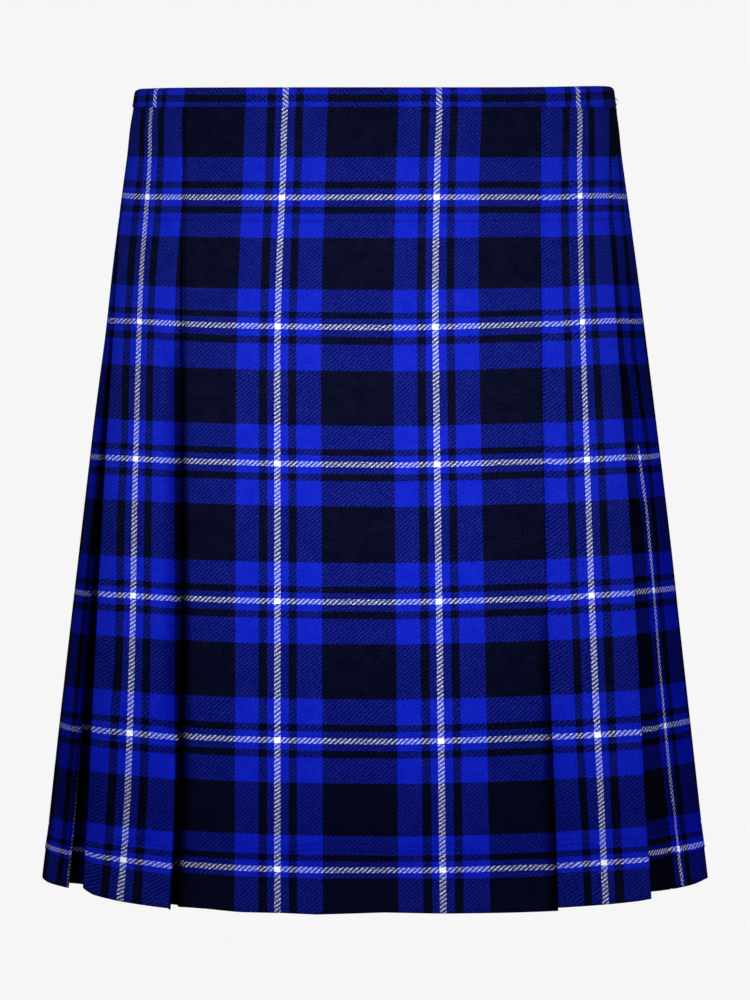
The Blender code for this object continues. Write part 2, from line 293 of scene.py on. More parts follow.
OUTER_LINES = [
    # depth, white, black line
    (0.004, 0.2100, 0.2205, 0.2450),
    (0.050, 0.2110, 0.2180, 0.2235),
    (0.098, 0.2095, 0.2148, 0.2186),
    (0.145, 0.2115, 0.2178, 0.2220),
    (0.200, 0.2142, 0.2199, 0.2236),
    (0.240, 0.2158, 0.2246, 0.2308),
    (0.264, 0.2180, 0.2298, 0.2373),
    (0.270, 0.2236, 0.2305, 0.2378),
    (0.320, 0.2307, 0.2349, 0.2422),
    (0.380, 0.2370, 0.2401, 0.2467),
    (0.434, 0.2440, 0.2475, 0.2539),
    (0.480, 0.2510, 0.2542, 0.2602),
    (0.520, 0.2570, 0.2600, 0.2659),
    (0.565, 0.2641, 0.2668, 0.2725),
    (0.610, 0.2713, 0.2736, 0.2793),
]
OUTER_LEFT_EDGE = [
    # depth, thread on the outer fold of the last panel on the left
    (0.000, -17.0),
    (0.260, -16.5),
    (0.290, -14.0),
    (0.340, -11.5),
    (0.365, -9.0),
    (0.400, -8.2),
    (0.458, -5.8),
    (0.533, -4.1),
    (0.610, -3.3),
]
OUTER_LEFT_THREAD = 1.25 * THREAD    # the last panel on the left lies eased wider
FRONT_WHITES = (0.00205, 0.00195, 0.0008)   # half widths: right, left, outer
BACK_REPEAT = 6.273      # warp repeat on the outer fold before the back pleats
TUCK_REPEAT = 0.118      # the cloth's repeat where it is tucked out of sight
# how far down the cloth each depth is, in weft repeats (whole at a white
# line); the two jumps are the cloth taken up by the hem tucks
WEFT_ROWS = [
    (0.0000, 0.160),
    (0.0512, 0.720),
    (0.0688, 0.887),
    (0.0811, 1.000),
    (0.1110, 1.309),
    (0.1497, 1.720),
    (0.1779, 2.000),
    (0.2097, 2.309),
    (0.2500, 2.720),
    (0.2788, 3.000),
    (0.3093, 3.309),
    (0.3510, 3.720),
    (0.3801, 4.000),
    (0.4110, 4.309),
    (0.4518, 4.720),
    (0.4833, 5.000),
    (0.5142, 5.309),
    (0.5530, 5.720),
    (HEM_STITCH, 5.826),
    (HEM_STITCH, 5.850),
    (0.5783, 6.000),
    (HEM_TUCK, 6.054),
    (HEM_TUCK, 6.330),
    (0.6100, 6.590),
]
# how far the weft rows are lifted, by depth; one column for each arc length
ROW_LIFT_AT = (-0.290, -0.186, -0.120, 0.020, 0.100, 0.126, 0.138, 0.163, 0.190, 0.230, 0.290)
ROW_LIFT = [
    # depth, at each of the arc lengths (mm)
    (0.000, 0.0, 0.0, 0.0, 0.0, 0.0, 0.0, 0.0, 0.0, 0.0, 0.0, 0.0),
    (0.081, 0.0, -1.1, -0.6, -0.2, -0.3, -0.9, -0.9, 0.0, -0.4, -1.6, -2.0),
    (0.178, 0.0, 2.6, 1.4, 0.3, 1.8, 2.1, 2.0, 3.1, 3.1, 0.9, 0.4),
    (0.279, -3.0, 0.7, 0.6, -0.4, 0.9, 1.0, 0.1, 1.2, 1.4, -0.9, -1.7),
    (0.380, -5.0, -0.1, -0.4, -0.5, 0.8, 0.8, 0.0, 1.3, 1.3, -0.6, -2.5),
    (0.483, -2.8, 0.9, -0.1, -0.3, 1.0, 1.2, 0.0, 0.6, 1.2, -1.8, -1.3),
    (0.578, -1.7, 1.1, 0.1, -0.1, 1.0, 0.7, -0.7, 0.5, 0.8, -0.8, -2.4),
    (0.610, -1.7, 1.1, 0.1, -0.1, 1.0, 0.7, -0.7, 0.5, 0.8, -0.8, -2.4),
]
ROW_PITCH = 0.1005       # one weft repeat


def linear(rows, key):
    """Values of a table at a key, straight between rows."""
    if key <= rows[0][0]:
        return rows[0][1:]
    for low, high in zip(rows, rows[1:]):
        if key <= high[0] and high[0] > low[0]:
            share = (key - low[0]) / (high[0] - low[0])
            return tuple(a + (b - a) * share for a, b in zip(low[1:], high[1:]))
    return rows[-1][1:]


def smooth(rows, key):
    """Values of a table at a key, along a smooth curve through its rows."""
    key = min(max(key, rows[0][0]), rows[-1][0])
    i = 1
    while i < len(rows) - 1 and key > rows[i][0]:
        i += 1
    low, high = rows[i - 1], rows[i]
    before = rows[i - 2] if i > 1 else low
    after = rows[i + 1] if i + 1 < len(rows) else high
    span = high[0] - low[0]
    t = (key - low[0]) / span
    values = []
    for a, b, c, d in zip(before[1:], low[1:], high[1:], after[1:]):
        slope_in = (c - a) / (high[0] - before[0]) * span
        slope_out = (d - b) / (after[0] - low[0]) * span
        values.append(
            (2 * t ** 3 - 3 * t ** 2 + 1) * b + (t ** 3 - 2 * t ** 2 + t) * slope_in
            + (3 * t ** 2 - 2 * t ** 3) * c + (t ** 3 - t ** 2) * slope_out
        )
    return tuple(values)


class Section:
    """Closed horizontal curve of the body at one depth, by arc length."""

    def __init__(self, depth, steps=960):
        self.right, self.left, self.front, self.back = smooth(SECTIONS, depth)
        share = min(1.0, max(0.0, depth / DROP))
        self.power = EXPONENT_WAIST + (EXPONENT_HEM - EXPONENT_WAIST) * share
        self.angles = [2.0 * math.pi * i / steps for i in range(steps + 1)]
        self.arc = [0.0]
        last = self.point(0.0)
        for angle in self.angles[1:]:
            here = self.point(angle)
            self.arc.append(self.arc[-1] + math.dist(last, here))
            last = here
        self.length = self.arc[-1]

    def half(self, angle):
        across = self.right if math.sin(angle) >= 0.0 else self.left
        along = self.front if math.cos(angle) >= 0.0 else self.back
        return across, along

    def point(self, angle):
        across, along = self.half(angle)
        s = math.sin(angle)
        c = math.cos(angle)
        x = across * math.copysign(abs(s) ** (2.0 / self.power), s)
        y = -along * math.copysign(abs(c) ** (2.0 / self.power), c)
        return x, y

    def place(self, s, offset):
        """Point at arc length s, moved outward by offset."""
        s = s % self.length
        i = bisect.bisect_right(self.arc, s) - 1
        i = max(0, min(i, len(self.arc) - 2))
        share = (s - self.arc[i]) / (self.arc[i + 1] - self.arc[i])
        angle = self.angles[i] + (self.angles[i + 1] - self.angles[i]) * share
        x, y = self.point(angle)
        across, along = self.half(angle)
        nx = math.copysign(abs(x / across) ** (self.power - 1.0) / across, x)
        ny = math.copysign(abs(y / along) ** (self.power - 1.0) / along, y)
        size = math.hypot(nx, ny)
        return x + offset * nx / size, y + offset * ny / size


def fold_row(row, depth, share, grow, turn):
    """One fold of the front at one depth, counted on from arc length turn."""
    spots = list(zip(FOLD_HEIGHTS, row[:6]))
    tuck = row[8] + (row[9] - row[8]) * share
    return linear(spots, depth)[0] + turn, row[6] * grow, row[7], tuck, row[10]


def fold_table(depth, length):
    """All outer folds at one depth: position, stand-off, rise, tuck and ramp."""
    share = min(1.0, depth / DROP)
    grow = max(0.0, (depth - YOKE) / (DROP - YOKE)) ** FLARE_POWER
    folds = [fold_row(row, depth, share, grow, 0.0) for row in FRONT_FOLDS]
    lefts = [fold_row(row, depth, share, grow, length) for row in LEFT_FOLDS]
    start = folds[-1][0]
    pitch = (lefts[0][0] - start) / (len(BACK_FOLDS) + 1)
    tuck = BACK_TUCK_TOP + (BACK_TUCK_HEM - BACK_TUCK_TOP) * share
    for number, (stand, rise, shift) in enumerate(BACK_FOLDS, start=1):
        spot = start + pitch * number + shift * share
        folds.append((spot, stand * grow, rise, tuck, RAMP))
    return folds + lefts


def from_front(s, length):
    """Arc length counted from the middle of the front, below 0 on the left."""
    around = s % length
    return around - length if around > length / 2.0 else around


def lifted(depth, s, length):
    """Depth of a point once the hem below it is lifted."""
    share = min(1.0, max(0.0, (depth - HEM_LIFT_FROM) / (DROP - HEM_LIFT_FROM)))
    return depth - linear(HEM_LIFT, from_front(s, length))[0] * share * share * (3.0 - 2.0 * share)


def panel_offset(s, left, fold):
    """How far the visible layer stands off the body at arc length s."""
    right, stand, rise, _, ramp = fold
    lift = min(1.0, max(0.0, (s - left - 0.21 * ramp) / (0.79 * ramp)))
    lift = 2.0 * LAYER * lift * lift * (3.0 - 2.0 * lift)
    return lift + stand * (max(0.0, s - left) / (right - left)) ** rise


def thread_at(s, knots):
    """Thread number at an arc length, from (arc, thread) knots."""
    if s <= knots[0][0]:
        return knots[0][1] + (s - knots[0][0]) / THREAD
    if s >= knots[-1][0]:
        return knots[-1][1] + (s - knots[-1][0]) / THREAD
    return linear(knots, s)[0]


def with_white(knots, half):
    """The same knots with both edges of the white line put in its place."""
    spots = []
    for spot, thread in knots:
        if thread == 0.0:
            spots += [(spot - half, -WARP_WHITE), (spot + half, WARP_WHITE)]
        else:
            spots.append((spot, thread))
    return spots


def warp_at(index, s, left, right, depth, length):
    """Warp repeat (whole at a white line) at arc length s of a panel."""
    right_white, left_white, outer_white = FRONT_WHITES
    if index == 0:
        white, after = smooth(APRON_LINES, depth)
        return max(APRON_FIRST_THREAD / THREADS_ACROSS, (s - white) / (after - white))
    if index == 1:
        knots = list(zip(smooth(RIGHT_LINES, depth), RIGHT_THREADS))
        knots = [(left, RIGHT_ENDS[0])] + with_white(knots, right_white)
        last = min(RIGHT_ENDS[1], RIGHT_THREADS[-1] + (right - knots[-1][0]) / THREAD)
        return 3.0 + thread_at(s, knots + [(right, last)]) / THREADS_ACROSS
    if index == 2:
        start = linear(NARROW_LINES, depth)[0]
        return 3.0 + (WARP_EDGES[3] + (s - start) / THREAD) / THREADS_ACROSS
    if index == 3:
        knots = list(zip(linear(OUTER_LINES, depth), RIGHT_THREADS[2:]))
        knots = with_white(knots, outer_white)
        return 6.0 + thread_at(s, knots) / THREADS_ACROSS
    if index == 12:
        spots = [spot + length for spot in smooth(LEFT_LINES, depth)]
        knots = with_white(list(zip(spots, LEFT_THREADS)), left_white)
        return -2.0 + thread_at(s, knots) / THREADS_ACROSS
    if index == 11:
        edge = linear(OUTER_LEFT_EDGE, depth)[0]
        return -4.0 + (edge + (s - right) / OUTER_LEFT_THREAD) / THREADS_ACROSS
    return BACK_REPEAT + 2.0 * (index - 3) + (s - right) / THREAD / THREADS_ACROSS


def row_lift(depth, s, length):
    """Part of a weft repeat by which the rows are lifted at one place."""
    lifts = list(zip(ROW_LIFT_AT, linear(ROW_LIFT, depth)))
    return linear(lifts, from_front(s, length))[0] / 1000.0 / ROW_PITCH


# painted shade: how dark the cloth is painted in the valley on the right of the fold before it
OTHER_VALLEY_PAINTED_SHADE = (0.70, 0.70, 0.0040, 0.0080, 0.10)
VALLEY_PAINTED_SHADE = {
    # panel: strength high up, strength at the hem, width at the yoke, width at the hem, start
    0: (0.80, 0.97, 0.0014, 0.0025, 0.17),
    1: (0.30, 0.35, 0.0022, 0.0030, 0.10),
    2: (0.80, 0.70, 0.0060, 0.0055, 0.10),
    3: (0.50, 0.55, 0.0030, 0.0040, 0.10),
    11: (0.60, 0.60, 0.0055, 0.0085, 0.30),
    12: (0.95, 0.75, 0.0004, 0.0034, 0.20),
}
# painted shade over a whole panel: how much light it is painted with, as some lie deeper than others
PANEL_PAINTED_SHADE = {
    # panel: depth, share of the painted light, how much painted shade it takes off the display values
    0: [(0.57, 1.00, 0.000), (0.59, 1.07, 0.000), (0.61, 1.07, 0.000)],
    1: [(0.54, 1.00, 0.000), (0.58, 1.07, -0.008), (0.61, 1.08, 0.000)],
    2: [(0.10, 0.80, 0.010), (0.20, 0.66, 0.035), (0.30, 0.80, 0.045), (0.55, 0.85, 0.034),
        (0.58, 1.24, 0.036), (0.61, 1.18, 0.030)],
    3: [(0.10, 0.80, 0.010), (0.20, 0.62, 0.040), (0.30, 0.68, 0.055), (0.55, 0.80, 0.036),
        (0.58, 1.20, 0.034), (0.61, 1.14, 0.030)],
    11: [(0.30, 0.68, 0.040), (0.37, 0.58, 0.040), (0.48, 0.64, 0.040), (0.52, 0.58, 0.042),
         (0.58, 1.00, 0.008), (0.61, 1.00, 0.008)],
    12: [(0.38, 1.00, 0.000), (0.53, 0.98, 0.010), (0.58, 1.03, -0.006), (0.61, 1.07, 0.000)],
}
# painted shade: how dark its own outer fold is painted
EDGE_PAINTED_SHADE = {
    # panel: strength, width, depth where it starts and ends
    0: (0.80, 0.0040, 0.38, 0.70),
    11: (0.35, 0.0045, 0.20, 0.70),
    12: (0.55, 0.0030, 0.18, 0.50),
}
# depth at which the roll of an outer fold starts to be painted in shadow
ROLL_PAINTED_SHADOW_FROM = {1: 0.08, 2: 0.08, 11: 0.18, 12: 0.10}
PAINTED_SHADOW_FADE = 0.10       # depth over which a fold's shadow comes in below its start
EDGE_PAINTED_SHADE_FADE = 0.08
MOST_PAINTED_DARKENING = 0.055          # the most painted shade that a valley takes off the display values
# painted shade that darkens the colours towards the hem, where the light falls off
PAINTED_FALL_OFF = [
    # depth, taken off the display values
    (0.000, 0.000),
    (0.200, 0.000),
    (0.300, 0.004),
    (0.400, 0.012),
    (0.480, 0.020),
    (0.530, 0.025),
    (0.572, 0.033),
    (0.588, 0.020),
    (0.600, 0.015),
    (0.610, 0.013),
]


def painted_shade_at(index, s, left, right, depth):
    """Share of painted light at a spot between two folds: painted valley and fold-edge shade, times the
    panel's painted shade.
    """
    strength, low_strength, top, low, start = VALLEY_PAINTED_SHADE.get(index, OTHER_VALLEY_PAINTED_SHADE)
    share = min(1.0, max(0.0, (depth - YOKE) / (DROP - YOKE)))
    strength += (low_strength - strength) * share
    strength *= min(1.0, max(0.0, (depth - start) / PAINTED_SHADOW_FADE))
    width = top + (low - top) * share
    dark = strength * math.exp(-(max(0.0, s - left) / width) ** 2.5)
    if index in EDGE_PAINTED_SHADE:
        strength, width, start, end = EDGE_PAINTED_SHADE[index]
        strength *= min(1.0, max(0.0, (depth - start) / PAINTED_SHADOW_FADE), max(0.0, (end - depth) / EDGE_PAINTED_SHADE_FADE))
        dark = max(dark, strength * math.exp(-(max(0.0, right - s) / width) ** 2.0))
    if index in PANEL_PAINTED_SHADE:
        return (1.0 - dark) * linear(PANEL_PAINTED_SHADE[index], depth)[0]
    return 1.0 - dark


def painted_darkening_at(index, painted_shade, depth):
    """Painted shade taken off the display values there: towards the hem, over the shaded panels and in
    the valleys.
    """
    painted_darkening = linear(PAINTED_FALL_OFF, depth)[0]
    full = 1.0
    if index in PANEL_PAINTED_SHADE:
        full, extra = linear(PANEL_PAINTED_SHADE[index], depth)
        painted_darkening += extra
    return painted_darkening + min(MOST_PAINTED_DARKENING, 0.25 * max(0.0, full - painted_shade))


def panel_points(folds, index, length, depth, open_start, spacing):
    """(arc, offset, warp, painted shade, painted darkening) of a panel, its outer fold and its tucks."""
    fold = folds[index]
    right = fold[0]
    tuck = fold[3]
    fold_before = folds[index - 1]
    left = fold_before[0]
    before = folds[index - 2][0]
    if index < 1:
        left -= length
    if index < 2:
        before -= length
    shifted = (left, *fold_before[1:])
    tuck_left = fold_before[3]
    points = []
    inner = left - tuck_left
    low = panel_offset(inner, before, shifted) - 2.0 * LAYER
    start_warp = warp_at(index, left, left, right, depth, length)
    # the tuck under the fold before is painted with that valley's shade
    painted_shadow = painted_shade_at(index, left, left, right, depth)
    if not open_start:
        for angle in (0.25, 0.5, 0.75):
            turn = math.pi * angle
            points.append((inner - LAYER / 2.0 * math.sin(turn),
                           low + LAYER / 2.0 * (1.0 + math.cos(turn)),
                           start_warp - tuck_left / TUCK_REPEAT, painted_shadow))
    for step in range(7):
        share = step / 6
        ease = share * share * (3.0 - 2.0 * share)
        points.append((inner + tuck_left * share, low * (1.0 - ease),
                       warp_at(index, inner + tuck_left * share, left, right, depth, length),
                       painted_shadow))
    stops = [left + d for d in (0.0012, 0.0024, 0.0036, 0.0048, 0.0062, PANEL_START)]
    start = left + PANEL_START
    clear = right - tuck
    across = spacing[index]
    stops += [start + (clear - start) * (n + 1) / across for n in range(across)]
    across = max(4, spacing[index] // 3)
    stops += [clear + tuck * (n + 1) / across for n in range(across)]
    for spot in stops:
        points.append((spot, panel_offset(spot, left, fold),
                       warp_at(index, spot, left, right, depth, length),
                       painted_shade_at(index, spot, left, right, depth)))
    top = panel_offset(right, left, fold)
    end_warp = warp_at(index, right, left, right, depth, length)
    # the fold's roll and the layer turned back under it are painted at down to half light: painted shadow
    roll_painted_shade = 1.0 - 0.5 * min(1.0, max(0.0, (depth - ROLL_PAINTED_SHADOW_FROM.get(index, 0.0)) / 0.05))
    painted_shadow = roll_painted_shade * painted_shade_at(index, right, left, right, depth)
    for angle in (0.2, 0.4, 0.6, 0.8):
        turn = math.pi * angle
        points.append((right + LAYER / 2.0 * math.sin(turn),
                       top - LAYER / 2.0 * (1.0 - math.cos(turn)),
                       end_warp + LAYER / 2.0 * turn / TUCK_REPEAT, painted_shadow))
    for step in range(across + 1):
        spot = right - tuck * step / across
        points.append((spot, panel_offset(spot, left, fold) - LAYER,
                       end_warp + (0.0027 + right - spot) / TUCK_REPEAT, painted_shadow))
    return [(*point, painted_darkening_at(index, point[3], depth)) for point in points]


def ring_list():
    """Depths of the mesh rings: close together at the tucks and stitches."""
    top = BAND_TOP - CLOTH_TOP
    depths = {round(top + (DROP - top) * n / RING_COUNT, 4) for n in range(RING_COUNT + 1)}
    for line in (YOKE, HEM_STITCH - 0.0042, HEM_STITCH, HEM_TUCK):
        depths = {d for d in depths if abs(d - line) > 0.0021}
        depths |= {round(line + d, 4) for d in (-0.0020, -0.0008, 0.0, 0.0004, 0.0008, 0.0012, 0.0020)}
    depths |= {0.0148, 0.0153, 0.0170, 0.0200, 0.0245}
    return sorted(depths)


UNDER_BAND = 0.0151      # depth at which the cloth comes out from the waistband
BAND_END_SHARE = 0.247   # where the waistband's ends meet, as a share of its length
RINGS = ring_list()


def bell(value, middle, width):
    """Bell curve, 1 in the middle and a third of that one width away."""
    return math.exp(-((value - middle) / width) ** 2)


def relief(depth):
    """Small ridges and grooves sewn across the cloth at one depth."""
    # the pleats stand full a little below the waistband
    push = 0.0009 * bell(depth, 0.030, 0.014)
    # the yoke stitching and the hem stitching pull the cloth in a little
    push -= 0.0002 * bell(depth, YOKE, 0.0009) + 0.0003 * bell(depth, HEM_STITCH, 0.0009)
    # the tuck above the hem leaves a step that faces down
    if depth <= HEM_TUCK:
        push += 0.0006 * math.exp(-(HEM_TUCK - depth) / 0.010)
    return push


def under_band(depth, s, length):
    """How far the cloth swells out right below the waistband, most at the hip."""
    if depth < UNDER_BAND:
        return 0.0
    hip = bell(s % length / length, BAND_END_SHARE - 0.01, 0.05)
    return (0.0005 + 0.0008 * hip) * math.exp((UNDER_BAND - depth) / 0.006)


def seam_painted_shade(depth, s):
    """Share of painted light at the stitch lines across the cloth: painted shade in their grooves."""
    wave = 0.0006 * math.sin(71.0 * s) + 0.0004 * math.sin(193.0 * s + 1.0)
    firm = 0.5 + 0.5 * math.sin(41.0 * s + 0.6) * math.sin(17.0 * s)
    dark = 0.26 * bell(depth, YOKE + 0.0007, 0.0008)
    for line, strength in ((HEM_STITCH + 0.0008, 0.45), (HEM_STITCH - 0.0034, 0.35)):
        dark = max(dark, strength * firm * bell(depth, line + wave, 0.0007))
    return 1.0 - dark


def weft_at(depth, below):
    """Weft repeat at a depth; below picks the far side of a jump."""
    for low, high in zip(WEFT_ROWS, WEFT_ROWS[1:]):
        if low[0] < depth < high[0] or depth == (low[0] if below else high[0]) and low[0] < high[0]:
            share = (depth - low[0]) / (high[0] - low[0])
            return low[1] + (high[1] - low[1]) * share
    return WEFT_ROWS[0][1] if depth <= WEFT_ROWS[0][0] else WEFT_ROWS[-1][1]


def sew(name, points, above, below, painted_shades, painted_darkenings, material, node):
    """Make one sheet of real cloth thickness from its rings of points.

    above and below hold each ring's place in the weave, as the faces above it
    and those below it see it.
    """
    across = len(above[0])
    faces = []
    corners = []
    for r in range(len(above) - 1):
        for c in range(across - 1):
            a = r * across + c
            faces.append((a, a + across, a + across + 1, a + 1))
            for place in (below[r][c], above[r + 1][c], above[r + 1][c + 1], below[r][c + 1]):
                corners += place
    mesh = bpy.data.meshes.new(name)
    mesh.from_pydata(points, [], faces)
    mesh.uv_layers.new(name="weave").data.foreach_set("uv", corners)
    # painted shade and painted darkening are kept on the points for the tartan to read
    mesh.attributes.new("painted_shade", "FLOAT", "POINT").data.foreach_set("value", painted_shades)
    mesh.attributes.new("painted_darkening", "FLOAT", "POINT").data.foreach_set("value", painted_darkenings)
    mesh.shade_smooth()
    mesh.materials.append(material)
    piece = bpy.data.objects.new(name, mesh)
    bpy.context.scene.collection.objects.link(piece)
    wall = piece.modifiers.new("cloth thickness", "SOLIDIFY")
    wall.thickness = WALL
    wall.offset = 0.0
    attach(piece, "root")
    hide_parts(node)
    return piece


def cloth_piece(name, first, last, material, node):
    """Lay the panels first..last side by side and sew them into one sheet."""
    spacing = None
    for depth in (RINGS[0], DROP):
        section = Section(depth)
        folds = fold_table(depth, section.length)
        here = []
        for index, fold in enumerate(folds):
            left = folds[index - 1][0] - (section.length if index == 0 else 0.0)
            here.append(max(2, math.ceil((fold[0] - fold[3] - left - PANEL_START) / COLUMN_STEP)))
        spacing = here if spacing is None else [max(a, b) for a, b in zip(spacing, here)]
    points = []
    painted_shades = []
    painted_darkenings = []
    above = []
    below = []
    for depth in RINGS:
        section = Section(depth)
        folds = fold_table(depth, section.length)
        row = []
        for index in range(first, last + 1):
            row += panel_points(folds, index, section.length, depth, index == first, spacing)
        push = relief(depth)
        for s, offset, warp, painted_shade, painted_darkening in row:
            x, y = section.place(s, offset + push + under_band(depth, s, section.length))
            points.append((x, y, BAND_TOP - lifted(depth, s, section.length)))
            # painted shade of the folds times painted shade of the stitch lines
            painted_shades.append(painted_shade * seam_painted_shade(depth, s))
            painted_darkenings.append(painted_darkening)
        for places, rows_down in ((above, weft_at(depth, False)), (below, weft_at(depth, True))):
            places.append([(point[2], rows_down + row_lift(depth, point[0], section.length))
                           for point in row])
    return sew(name, points, above, below, painted_shades, painted_darkenings, material, node)


# dyed wool colours, in display values
BLUE = (0.070, 0.135, 0.720)
BLACK = (0.030, 0.040, 0.128)
WHITE = (0.750, 0.755, 0.990)
BRIGHTNESS = (0.299, 0.587, 0.114)   # share of red, green and blue in what the eye sees
TWILL_CONTRAST = 0.62    # how far the upper thread's brightness shows at a rib
WHITE_CONTRAST = 0.18    # and more than that on the stouter white threads
TWILL_STEP = (0.90, 0.97)            # how far the rib moves on for each warp and weft
WHITE_STEP = 0.75        # the same for the warps of the white line
RIB_START = 1.5
CROSSING = 0.32          # the white square where two white lines cross


def tartan(name, lean):
    """Woollen 2/2 twill: warp and weft stripes that show through each other."""
    material = bpy.data.materials.new(name)
    material.use_nodes = True
    tree = material.node_tree
    shader = tree.nodes["Principled BSDF"]

    def wire(socket, value):
        if isinstance(value, bpy.types.NodeSocket):
            tree.links.new(value, socket)
        else:
            socket.default_value = value

    def sums(operation, *values):
        node = tree.nodes.new("ShaderNodeMath")
        node.operation = operation
        for socket, value in zip(node.inputs, values):
            wire(socket, value)
        return node.outputs["Value"]

    def vectors(operation, first, second, out="Vector"):
        node = tree.nodes.new("ShaderNodeVectorMath")
        node.operation = operation
        wire(node.inputs[0], first)
        wire(node.inputs[3 if operation == "SCALE" else 1], second)
        return node.outputs[out]

    def blend(first, second, share):
        node = tree.nodes.new("ShaderNodeMix")
        node.data_type = "VECTOR"
        wire(node.inputs["Factor"], share)
        wire(node.inputs["A"], first)
        wire(node.inputs["B"], second)
        return node.outputs["Result"]

    def stripes(place, total, edges):
        """Dyed stripes: alternately blue and black between the edges."""
        node = tree.nodes.new("ShaderNodeValToRGB")
        node.color_ramp.interpolation = "CONSTANT"
        stops = node.color_ramp.elements
        stops[0].position = 0.0
        stops[0].color = (*BLUE, 1.0)
        stops[1].position = edges[0] / total
        stops[1].color = (*BLACK, 1.0)
        for number, edge in enumerate(edges[1:]):
            stop = stops.new(edge / total)
            stop.color = (*(BLACK if number % 2 else BLUE), 1.0)
        wire(node.inputs["Fac"], sums("DIVIDE", place, total))
        return node.outputs["Color"]

    def cloud(place, size, amount):
        """Soft random values, about +-amount, over patches of some threads."""
        node = tree.nodes.new("ShaderNodeTexNoise")
        node.inputs["Scale"].default_value = 1.0 / size
        node.inputs["Detail"].default_value = 1.0
        wire(node.inputs["Vector"], place)
        return sums("MULTIPLY", sums("SUBTRACT", node.outputs["Fac"], 0.5), amount * 4.0)

    uv = tree.nodes.new("ShaderNodeUVMap")
    uv.uv_map = "weave"
    scale = (float(THREADS_ACROSS), float(THREADS_DOWN), 1.0)
    threads = vectors("MULTIPLY", uv.outputs["UV"], scale)
    split = tree.nodes.new("ShaderNodeSeparateXYZ")
    wire(split.inputs["Vector"], threads)
    warp = split.outputs["X"]
    weft = split.outputs["Y"]
    wobble = cloud(threads, 1.5, 0.40)

    # the stripes of the warp, counted on from each white line
    turn = sums("FRACT", sums("DIVIDE", sums("ADD", warp, wobble), float(THREADS_ACROSS)))
    along = sums("MULTIPLY", turn, float(THREADS_ACROSS))
    beside = sums("MINIMUM", along, sums("SUBTRACT", float(THREADS_ACROSS), along))
    warp_white = sums("LESS_THAN", beside, WARP_WHITE)
    warp_colour = stripes(along, float(THREADS_ACROSS), WARP_EDGES)
    warp_colour = blend(warp_colour, WHITE, warp_white)
    # the stripes of the weft, counted down from each white line
    turn = sums("FRACT", sums("DIVIDE", sums("ADD", weft, wobble), float(THREADS_DOWN)))
    down = sums("MULTIPLY", turn, float(THREADS_DOWN))
    beside = sums("MINIMUM", down, sums("SUBTRACT", float(THREADS_DOWN), down))
    weft_white = sums("LESS_THAN", beside, WEFT_WHITE)
    weft_colour = stripes(down, float(THREADS_DOWN), WEFT_EDGES)
    weft_colour = blend(weft_colour, WHITE, weft_white)

    # the twill: either colour comes up in turn along the diagonal, flatter on
    # the stouter white warp
    rib = sums("ADD", sums("MULTIPLY", warp, TWILL_STEP[0]),
               sums("MULTIPLY", weft, TWILL_STEP[1] * lean))
    repeats = sums("DIVIDE", warp, float(THREADS_ACROSS))
    centred = sums("SUBTRACT", sums("FRACT", sums("ADD", repeats, 0.5)), 0.5)
    flat_rib = sums("ADD", sums("MULTIPLY", centred, WHITE_STEP * THREADS_ACROSS),
                    sums("MULTIPLY", weft, float(lean)))
    rib = sums("ADD", sums("MULTIPLY", rib, sums("SUBTRACT", 1.0, warp_white)),
               sums("MULTIPLY", flat_rib, warp_white))
    wave = sums("COSINE", sums("MULTIPLY", sums("SUBTRACT", rib, RIB_START), math.pi / 2.0))
    contrast = sums("SUBTRACT", vectors("DOT_PRODUCT", warp_colour, BRIGHTNESS, "Value"),
                    vectors("DOT_PRODUCT", weft_colour, BRIGHTNESS, "Value"))
    white = sums("MAXIMUM", warp_white, weft_white)
    crisp = sums("MULTIPLY_ADD", white, WHITE_CONTRAST, TWILL_CONTRAST)
    uneven = sums("ADD", sums("MULTIPLY", wave, crisp), cloud(threads, 1.6, 0.75))
    contrast = sums("MULTIPLY", sums("MULTIPLY", contrast, uneven), 0.5)
    grain = sums("ADD", cloud(threads, 1.3, 0.050), cloud(threads, 14.0, 0.012))
    share = sums("ADD", sums("MULTIPLY", warp_white, 0.06), 0.5)
    colour = blend(weft_colour, warp_colour, share)
    crossing = sums("MULTIPLY", sums("MULTIPLY", warp_white, weft_white), CROSSING)
    # painted shade that the folds and the fall-off towards the hem take off, less of it on a white weft
    painted_darkening = tree.nodes.new("ShaderNodeAttribute")
    painted_darkening.attribute_name = "painted_darkening"
    painted_darkening_taken = sums("MULTIPLY", painted_darkening.outputs["Fac"], sums("MULTIPLY_ADD", weft_white, -0.5, 1.0))
    lighter = sums("SUBTRACT", sums("ADD", sums("ADD", contrast, grain), crossing), painted_darkening_taken)
    colour = vectors("ADD", colour, vectors("SCALE", (1.0, 1.0, 1.0), lighter))
    colour = vectors("MINIMUM", vectors("MAXIMUM", colour, (0.0, 0.0, 0.0)), (1.0, 1.0, 1.0))
    # display values to light
    colour = vectors("SCALE", vectors("ADD", colour, (0.055, 0.055, 0.055)), 1.0 / 1.055)
    light = tree.nodes.new("ShaderNodeGamma")
    wire(light.inputs["Color"], colour)
    light.inputs["Gamma"].default_value = 2.4
    # the painted shade attribute multiplies the base colour
    painted_shadow = tree.nodes.new("ShaderNodeAttribute")
    painted_shadow.attribute_name = "painted_shade"
    wire(shader.inputs["Base Color"],
         vectors("SCALE", light.outputs["Color"], painted_shadow.outputs["Fac"]))

    bump = tree.nodes.new("ShaderNodeBump")
    bump.inputs["Strength"].default_value = 0.10
    bump.inputs["Distance"].default_value = 0.0002
    wire(bump.inputs["Height"], wave)
    wire(shader.inputs["Normal"], bump.outputs["Normal"])
    shader.inputs["Roughness"].default_value = 0.95
    shader.inputs["Specular IOR Level"].default_value = 0.02
    return material


